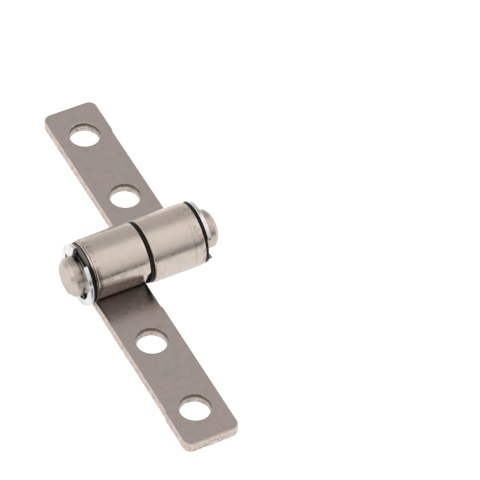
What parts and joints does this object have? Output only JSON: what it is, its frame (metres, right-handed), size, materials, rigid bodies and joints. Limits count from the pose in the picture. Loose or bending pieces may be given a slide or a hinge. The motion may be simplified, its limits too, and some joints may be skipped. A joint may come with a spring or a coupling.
{
  "type": "door hinge",
  "caption": "Friction strap hinge: two flat strap leaves with rolled knuckles side by side on one pin, held by retaining rings, staying open at any angle.",
  "frame": {"origin": "on the mounting plane below the middle of the pin", "axes": "+X along the pin to the rear leaf's side, +Y along the rear strap to its free end, +Z away from the mounting surface"},
  "size_m": [0.028, 0.0774, 0.0115],
  "materials": {
    "leaf_steel": "tumbled satin nickel plate over pressed steel",
    "pin_steel": "turned steel with satin nickel plate",
    "spring_steel": "bright bare spring steel",
    "black_washer": "matte black low-friction plastic",
    "ring_zinc": "bright zinc plate"
  },
  "bodies": {
    "fixed_half": {"rear_leaf": "leaf_steel", "hinge_pin": "pin_steel", "right_retaining_ring": "ring_zinc", "left_retaining_ring": "ring_zinc", "right_end_washer": "black_washer", "left_end_washer": "black_washer", "left_disc_spring": "spring_steel", "centre_washer": "black_washer"},
    "turning_half": {"front_leaf": "leaf_steel", "friction_sleeve": "spring_steel"}
  },
  "joints": [
    {"name": "leaf_turn", "type": "hinge", "parent": "fixed_half", "child": "turning_half", "pos_m": [0, 0, 0.00575], "axis": [-1, 0, 0], "continuous": true}
  ]
}
